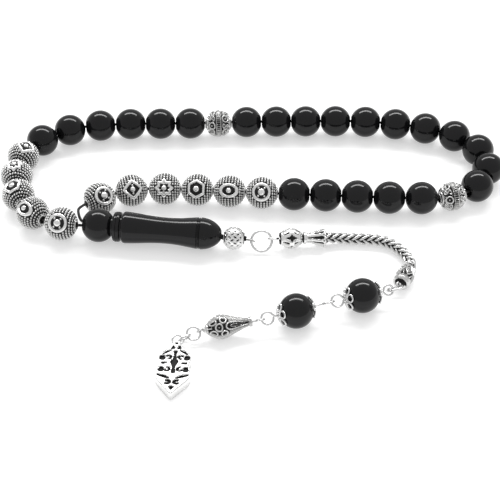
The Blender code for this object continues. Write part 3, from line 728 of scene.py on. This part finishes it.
def build_rings(materials):
    wire_ring("jump_ring", JUMP_RING, materials)
    wire_ring("end_ring", END_RING, materials)
    wire_ring("ring_a", RING_A, materials)
    wire_ring("ring_b", RING_B, materials)
    centre, facing, radius, wire = THREAD_RING
    shape = Shape()
    turns, steps = 18, 18 * 16
    coil = []
    for a in np.arange(steps) * 2 * pi / steps:
        out = radius + (wire - 0.1) * cos(turns * a)
        coil.append((out * cos(a), out * sin(a), (wire - 0.1) * sin(turns * a)))
    shape.wire(coil, 0.14, closed=True)
    # The dark ring inside the coil is painted shade between its turns, with oxide.
    shape.ring((0, 0, 0), (0, 0, 1), radius, wire - 0.12, look=DARK, steps=48)
    show("thread_ring_coil", shape, materials["antiqued_and_shaded"], "thread_ring",
         centre, facing)


def eye_points(loop, along):
    """An open round eye, from one side of its neck round to the other, in the frame's millimetres."""
    centre, facing, radius, _ = loop
    side = facing.cross(along).normalized()
    angles = np.radians(np.linspace(24, 352, 48))
    return [centre + radius * (along * cos(a) + side * sin(a)) for a in angles]


def pin(name, node, points, materials):
    """A pin bent from round wire."""
    shape = Shape()
    shape.wire([tuple(p) for p in points], PIN_WIRE, sides=PIN_SIDES)
    show(name, shape, materials["wire"], node, angle=60)


def build_crown(materials):
    """The pin from the jump ring, the pierced barrel that turns on it, and the ribbed flared cap."""
    along = (CROWN_END - CROWN_START).normalized()
    points = eye_points(CROWN_EYE, along)[::-1]
    points += [CROWN_START + along * (1.45 + 0.7 + 0.4 * k) for k in range(24)]
    pin("crown_pin_wire", "crown_pin", points, materials)

    looks = materials["pierced"]
    outline = [(0.25, 1.6), (0.35, 1.95), (0.75, 2.15), (1.5, 2.65), (2.3, 3.05), (3.0, 3.2),
               (3.5, 3.22), (4.0, 3.2), (4.7, 3.05), (5.4, 2.65), (6.2, 2.15)]
    middle = 3.45
    holes = [
        ([(1.6, 0, 0.04), (2.8, 0, 0.4), (middle, 0, 0.72), (4.1, 0, 0.4), (5.3, 0, 0.04)], 0.1),
        ([(middle, -0.31, 0.04), (middle, -0.13, 0.4), (middle, 0, 0.7), (middle, 0.13, 0.4),
          (middle, 0.31, 0.04)], 0.1),
    ]
    for turn in (-1, 1):
        holes += [
            ([(1.25, turn * 0.5, 0.3), (1.8, turn * 0.5, 0.42), (2.35, turn * 0.45, 0.24)], 0.1),
            ([(4.55, turn * 0.45, 0.24), (5.1, turn * 0.5, 0.42), (5.65, turn * 0.5, 0.3)], 0.1),
        ]
    shape = Shape()
    relief(shape, smooth_curve(outline, 80), [(5, holes)], 0.08, 0.55, cut=True, soft=0.16)
    # Dark inside and mouth ring: painted shade with oxide.
    shape.turned([(0.25, 1.6), (0.1, 1.5), (0.15, 0.95), (0.6, 0.72), (6.3, 0.72), (6.75, 1.0),
                  (6.85, 1.6), (6.6, 1.7), (6.2, 1.75)], 48, DARK)
    shape.ring((0, 0, 0.22), (0, 0, 1), 1.66, 0.2, look=DARK)
    turns = np.arange(18) * 2 * pi / 18
    centres = [(1.85 * cos(t), 1.85 * sin(t), 6.45) for t in turns]
    shape.granules(centres, [(cos(t), sin(t), 0.5) for t in turns], 0.27)
    show("crown_bead_pierced", shape, looks, "crown_bead", CROWN_START + along * 2.0, along, FRONT)

    outline = [(0.0, 1.55), (0.05, 1.85), (0.3, 1.93), (0.6, 1.93), (0.85, 1.85), (1.0, 1.55),
               (1.3, 1.48), (1.9, 1.55), (3.4, 2.02), (5.0, 2.5), (6.0, 2.72), (6.5, 2.8)]
    gaps = [([(1.5, 0.0, 0.1), (3.4, 0, 0.24), (5.5, 0, 0.48)], 0.1),
            ([(6.1, 0.5)], 0.17), ([(6.1, -0.5)], 0.17)]
    shape = Shape()
    relief(shape, smooth_curve(outline, 90), [(8, gaps)], 0.08, 0.42, cut=True, soft=0.14)
    # Dark inside: painted shade with oxide.
    shape.turned([(6.5, 2.78), (6.62, 2.6), (6.5, 2.4), (3.2, 1.75), (2.9, 0.9), (2.7, 0.05)], 48, DARK)
    shape.turned([(0.0, 1.55), (0.1, 0.9), (0.4, 0.3)], 48, DARK)
    turns = np.arange(16) * 2 * pi / 16
    centres = [(2.68 * cos(t), 2.68 * sin(t), 6.45) for t in turns]
    shape.granules(centres, [(cos(t), sin(t), 1.2) for t in turns], 0.3)
    show("flared_cap_ribbed", shape, looks, "flared_cap", CROWN_START + along * 9.3, along, FRONT)


# ---- chain

def build_chain(materials):
    """The square woven chain: on each of its four faces slanting strands meet those of the next."""
    route = smooth_curve(CHAIN_ROUTE, CHAIN_STEPS + 1)
    length = np.linalg.norm(np.diff(route, axis=0), axis=1).sum()
    heading = frames_along(route, False)[2]
    # One corner of the weave lies low on the side that faces away from the beads.
    aim = np.array([0.0, -0.95, 0.3])
    side = unit(aim - heading * (heading @ aim)[:, None])
    up = np.cross(heading, side)
    breaks = [0.0, *(share * length for share in CHAIN_BREAKS), length]

    def at(distance, angle, radius):
        """A point beside the route, so far along it, at an angle round it."""
        spot = np.clip(distance / length * CHAIN_STEPS, 0, CHAIN_STEPS)
        low = int(min(CHAIN_STEPS - 1, spot))
        share = spot - low
        middle = route[low] * (1 - share) + route[low + 1] * share
        return middle + radius * (side[low] * cos(angle) + up[low] * sin(angle))

    for number in (1, 2, 3):
        start = breaks[number - 1] + (CHAIN_GAP if number > 1 else 0)
        stop = breaks[number] - (CHAIN_GAP if number < 3 else 0)
        last = stop + (0.0 if number < 3 else 1.2)
        shape = Shape()
        spots = np.arange(int(start / length * CHAIN_STEPS), int(stop / length * CHAIN_STEPS) + 1, 6)
        # The dark core is painted shade between the strands, with oxide.
        shape.wire([route[s] for s in spots], CHAIN_CORE, DARK, sides=16)
        for stitch in range(-1, 24):
            for face in range(4):
                centre = (stitch + 0.5 * (face % 2)) * CHAIN_PITCH
                if not start <= centre < last:
                    continue
                slant = 1 if face % 2 == 0 else -1
                middle = pi / 4 + face * pi / 2
                ends = np.linspace(-1, 1, 13)
                path = []
                for e in ends:
                    angle = middle + e * pi / 4 * 0.96
                    along = centre + slant * e * CHAIN_SLANT
                    lift = CHAIN_LIFT - CHAIN_DIP * abs(e) ** 3
                    path.append(at(min(max(along, 0.2), length - 0.2), angle, lift))
                shape.wire(path, [CHAIN_STRAND * (1 - 0.4 * abs(e) ** 2.5) for e in ends], sides=10)
        show(f"chain_{number}_woven", shape, materials["antiqued_and_shaded"], f"chain_{number}")


def build_end_cap(materials):
    """The filigree barrel that closes the chain, with its cast loop."""
    outline = [(0.1, 1.85), (0.4, 2.1), (1.2, 2.3), (3.0, 2.7), (4.0, 2.76), (4.9, 2.7), (6.0, 2.4)]
    middle = 3.05
    lozenge = [([(1.0, 0), (middle, 0.31), (5.1, 0), (middle, -0.31), (1.0, 0)], 0.25),
               ([(2.1, 0), (middle, 0.13), (4.0, 0), (middle, -0.13), (2.1, 0)], 0.17)]
    crosses = []
    for turn in (-1, 1):
        crosses += [([(0.7, turn * 0.3), (5.4, turn * 0.7)], 0.22),
                    ([(5.4, turn * 0.3), (0.7, turn * 0.7)], 0.22), ([(middle, turn * 0.5)], 0.34)]
    rims = [([(0.35, -0.5), (0.35, 0.5)], 0.24), ([(5.75, -0.5), (5.75, 0.5)], 0.24)]
    shape = Shape()
    relief(shape, smooth_curve(outline, 80), [(4, lozenge + crosses), (1, rims)], 0.08, 0.5)
    # Dark inside: painted shade with oxide.
    shape.turned([(0.1, 1.85), (0.0, 1.7), (0.6, 1.55), (1.3, 1.4), (1.4, 0.05)], 48, DARK)
    shape.turned([(5.95, 2.4), (6.1, 2.25), (6.25, 2.2), (6.32, 2.3), (6.45, 2.5), (6.7, 2.58),
                  (6.95, 2.55), (7.05, 2.42), (7.12, 2.38), (7.2, 2.46), (7.4, 2.38), (7.55, 2.1),
                  (7.5, 1.9), (7.3, 1.75)], 64)
    # Dark inside: painted shade with oxide.
    shape.turned([(7.3, 1.75), (7.15, 1.6), (7.1, 1.0), (7.2, 0.6), (7.5, 0.45), (7.6, 0.05)], 40, DARK)
    along = (END_CAP_END - END_CAP_START).normalized()
    show("end_cap_filigree", shape, materials["antiqued_and_shaded"], "end_cap",
         END_CAP_START, along, FRONT)
    loop = Shape()
    loop.ring(END_CAP_START + along * 8.7, (0.8, -0.35, 0.42), 1.1, PIN_WIRE, steps=56, sides=PIN_SIDES)
    show("end_cap_loop", loop, materials["wire"], "end_cap")


# ---- tassel

def flower_cap(end):
    """A cap of wire rings that hugs a tassel bead's end."""
    shape = Shape()
    rings = 6
    for k in range(rings):
        turn, lean = k * 2 * pi / rings, radians(27)
        normal = np.array([sin(lean) * cos(turn), sin(lean) * sin(turn), end * cos(lean)])
        shape.ring(normal * 5.42, normal, 1.06, 0.26, steps=36, sides=10)
        turn, lean = turn + pi / rings, radians(14)
        normal = np.array([[sin(lean) * cos(turn), sin(lean) * sin(turn), end * cos(lean)]])
        shape.granules(normal * 5.3, normal, 0.3)
    shape.ring((0, 0, end * 5.33), (0, 0, 1), 0.72, 0.26)
    return shape


def build_tassel_beads(materials):
    black = black_bead_mesh("tassel_bead", TASSEL_RADIUS, TASSEL_HALF, TASSEL_BORE, materials)
    for number, (start, end) in ((1, PIN_1), (2, PIN_2)):
        along = (end[0] - start[0]).normalized()
        points = eye_points(start, along)[::-1]
        run = (end[0] - start[0]).length
        shank = np.linspace(start[2] + 0.7, run - end[2] - 0.7, 12)
        points += [start[0] + along * d for d in shank]
        points += eye_points(end, -along)
        pin(f"eye_pin_{number}_wire", f"eye_pin_{number}", points, materials)
        body = f"tassel_bead_{number}"
        place, axis = joint_place(body)
        put(f"{body}_polished", black, body, "polished_black", place, axis)
        for side, letter in ((-1, "a"), (1, "b")):
            cap = flower_cap(side).mesh("flower_cap", materials["cap"])
            node = f"flower_cap_{number}{letter}"
            put(f"{node}_rings", cap, node, "antique_silver", place, along, FRONT)


def build_cone(materials):
    """The pointed filigree cone: a collar, petals at the shoulder and long arches toward each end."""
    outline = [(3.3, 1.6), (3.45, 1.4), (3.7, 1.35), (6.0, 1.85), (9.0, 2.9), (10.8, 3.5),
               (11.6, 3.58), (12.4, 3.45), (13.4, 3.05), (15.0, 2.1), (16.3, 0.95)]
    arches = [([(3.9, 0.32, 0.17), (8.2, 0.34, 0.27), (9.2, 0.3, 0.3), (9.95, 0.16, 0.3),
                (10.2, 0.0, 0.3), (9.95, -0.16, 0.3), (9.2, -0.3, 0.3), (8.2, -0.34, 0.27),
                (3.9, -0.32, 0.17)], 0.2),
              ([(4.6, 0.09, 0.09), (8.0, 0.12, 0.17), (8.7, 0.07, 0.18), (8.9, 0, 0.18),
                (8.7, -0.07, 0.18), (8.0, -0.12, 0.17), (4.6, -0.09, 0.09)], 0.1)]
    petals = []
    for turn in (-1, 1):
        petals += [([(3.9, turn * 0.5, 0.08), (9.2, turn * 0.5, 0.2)], 0.1),
                   (arc((10.9, turn * 0.5), 0.92, 0, 360, 22, 0.245), 0.3),
                   (arc((14.0, turn * 0.5), 0.98, 0, 360, 22, 0.24), 0.27)]
    petals += [(arc((12.35, 0.0), 1.0, 0, 360, 22, 0.26), 0.31), ([(12.35, 0)], 0.26),
               ([(14.6, 0.0, 0.3), (15.6, 0.0, 0.2)], 0.2)]
    rims = [([(3.55, -0.5), (3.55, 0.5)], 0.24), ([(15.95, -0.5), (15.95, 0.5)], 0.4)]
    shape = Shape()
    relief(shape, smooth_curve(outline, 160), [(5, arches + petals), (1, rims)], 0.08, 0.55)
    shape.turned([(1.2, 0.05), (1.2, 0.36), (1.3, 0.42), (2.6, 0.42), (2.65, 1.2), (2.7, 1.42),
                  (2.85, 1.5), (3.0, 1.52), (3.1, 1.42), (3.15, 1.44), (3.25, 1.58), (3.35, 1.62),
                  (3.45, 1.5), (3.5, 1.3)], 48)
    shape.turned([(16.3, 0.95), (16.35, 0.8), (16.45, 0.78), (16.55, 0.88), (16.65, 0.86),
                  (16.7, 0.68), (16.8, 0.66), (16.9, 0.6), (16.95, 0.3), (16.95, 0.05)], 40)
    along = (CONE_END - CONE_START).normalized()
    show("cone_filigree", shape, materials["antiqued_and_shaded"], "cone_bead",
         CONE_START, along, FRONT)
    loops = Shape()
    loops.ring(CONE_START + along * 0.35, (-0.18, 0.63, 0.76), 1.2, PIN_WIRE, steps=56, sides=PIN_SIDES)
    loops.ring(CONE_START + along * 17.65, (-0.48, 0.7, 0.52), 0.9, 0.3, steps=56, sides=PIN_SIDES)
    show("cone_loops", loops, materials["wire"], "cone_bead")


# ---- pendant

PENDANT_EDGE = [(0.0, 0.9), (1.6, 1.3), (3.4, 2.6), (5.2, 4.2), (6.6, 4.5), (9.4, 4.15),
                (12.2, 4.75), (13.6, 4.85), (16.0, 3.7), (18.6, 1.7), (20.3, 0.4)]


def openwork(shape, edge, holes, thickness, step):
    """A flat plate in (across, down) with rounded edges, pierced on both faces down to a dark web.
    edge gives half widths down the plate, and the holes are strokes."""
    down = np.arange(-0.3, edge[-1][0] + 0.3, step)
    wide = max(w for _, w in edge) + 0.2
    across = np.arange(-wide, wide + step, step)
    x, y = np.meshgrid(across, down)
    rim = smooth_curve(edge, 120)
    outline = [(w, d) for d, w in rim]
    outline += [(-w, d) for w, d in reversed(outline)]
    loop = [(outline + outline[:1], 0.0)]

    def inside(px, py):
        """How deep each point is in the metal: distance to the nearest edge, less than 0 outside."""
        away = distance_to(loop, px, py)
        half = np.interp(py, rim[:, 0], rim[:, 1], left=-1, right=-1)
        signed = np.where(abs(px) < half, away, -away)
        return np.minimum(signed, distance_to(holes, abs(px), py) - HOLE_SPREAD)

    solid = inside(x, y) > 0
    cells = solid[:-1, :-1] & solid[1:, :-1] & solid[1:, 1:] & solid[:-1, 1:]
    used = np.zeros_like(solid)
    for a in (slice(None, -1), slice(1, None)):
        for b in (slice(None, -1), slice(1, None)):
            used[a, b] |= cells
    full = np.zeros_like(solid)
    full[1:-1, 1:-1] = cells[:-1, :-1] & cells[1:, :-1] & cells[1:, 1:] & cells[:-1, 1:]
    border = used & ~full
    # Points on the border of the grid move onto the true edge.
    px, py = x.copy(), y.copy()
    small = 0.01
    for _ in range(5):
        value = inside(px, py)
        gx = (inside(px + small, py) - inside(px - small, py)) / (2 * small)
        gy = (inside(px, py + small) - inside(px, py - small)) / (2 * small)
        norm = np.maximum(gx * gx + gy * gy, 0.25)
        px = np.where(border, px - np.clip(value, -step, step) * gx / norm, px)
        py = np.where(border, py - np.clip(value, -step, step) * gy / norm, py)
    value = np.maximum(inside(px, py), 0)
    value = np.where(border, 0.0, value)
    rise = np.sqrt(np.clip(1 - (1 - np.clip(value / PENDANT_BEVEL, 0, 1)) ** 2, 0, 1))
    lift = thickness / 2 - PENDANT_BEVEL * (1 - rise)
    index = -np.ones(x.shape, int)
    index[used] = np.arange(used.sum())
    count = used.sum()
    upper = np.stack([px[used], py[used], lift[used]], axis=1)
    lower = upper * (1, 1, -1)
    corners = [index[:-1, :-1], index[:-1, 1:], index[1:, 1:], index[1:, :-1]]
    corners = np.stack(corners, axis=-1)[cells]
    faces = [tuple(f) for f in corners] + [tuple(f[::-1] + count) for f in corners]
    sides = [(a, b) for face in corners for a, b in zip(face, np.roll(face, -1))]
    shared = set(sides)
    edges = [(a, b) for a, b in sides if (b, a) not in shared]
    faces += [(b, a, a + count, b + count) for a, b in edges]
    # Walls of the holes are dark: oxide with painted shade.
    near = distance_to(holes, abs(upper[:, 0]), upper[:, 1]) < HOLE_SPREAD + 0.05
    looks = [BRIGHT] * (2 * len(corners)) + [DARK if near[a] and near[b] else BRIGHT for a, b in edges]
    shape.add(np.vstack([upper, lower]), faces, looks)
    # The dark web at mid-thickness is painted shade deep in the holes, with oxide.
    inner = rim[(rim[:, 1] > 0.5)] - (0, 0.25)
    inner = inner[inner[:, 0] < edge[-1][0] - 0.5]
    for level in (-WEB_LEVEL, WEB_LEVEL):
        shape.grid([[(-w, d, level), (w, d, level)] for d, w in inner], DARK)


def build_pendant(materials):
    """The flat openwork drop, with the loop it hangs by."""
    holes = [
        ([(0.0, 0.95)], 0.3),
        (arc((0.92, 2.55), 0.42, -100, 150, 10), 0.24),
        ([(1.35, 3.75, 0.14), (2.3, 4.3, 0.32), (3.25, 5.15, 0.18)], 0.1),
        ([(0.0, 4.35, 0.46)], 0.46),
        ([(0.0, 4.3, 0.2), (0.0, 5.9, 0.22), (0.0, 8.3, 0.95), (0.0, 10.3, 0.25),
          (0.0, 12.2, 0.46)], 0.1),
        (arc((1.72, 6.5), 0.66, 100, 330, 16), 0.24),
        ([(3.4, 6.45, 0.66), (3.4, 6.95, 0.66)], 0.66),
        ([(2.3, 8.75, 0.2), (3.1, 8.8, 0.38)], 0.1),
        (arc((1.78, 11.1), 0.68, 30, 260, 16), 0.24),
        ([(3.45, 10.95, 0.68), (3.45, 11.45, 0.68)], 0.68),
        ([(1.2, 14.5, 0.2), (2.3, 14.0, 0.46), (4.0, 13.35, 0.28)], 0.1),
        (arc((1.25, 16.05), 0.62, 60, 290, 14), 0.33),
        ([(-0.4, 18.0, 0.26), (0.4, 18.0, 0.26)], 0.1), ([(0.0, 18.0, 0.4), (0.0, 18.8, 0.16)], 0.1),
    ]
    shape = Shape()
    openwork(shape, PENDANT_EDGE, holes, PENDANT_THICKNESS, PENDANT_STEP)
    down = (PENDANT_BOTTOM - PENDANT_TOP).normalized()
    across = down.cross(UP)
    middle = PENDANT_TOP + UP * PENDANT_THICKNESS / 2
    show("pendant_openwork", shape, materials["pierced"], "pendant",
         middle, across.cross(down), across)
    loop = Shape()
    centre = PENDANT_TOP - down * 1.25 + UP * 2.0
    loop.ring(centre, (0.1, -0.3, 0.95), 1.5, PIN_WIRE, steps=56, sides=PIN_SIDES)
    show("pendant_loop", loop, materials["wire"], "pendant")


# ---- everything

make_camera()
make_light()
make_table()
looks = make_materials()
build_cord(looks)
build_beads(looks)
build_imame(looks)
build_tip_bead(looks)
build_rings(looks)
build_crown(looks)
build_chain(looks)
build_end_cap(looks)
build_tassel_beads(looks)
build_cone(looks)
build_pendant(looks)
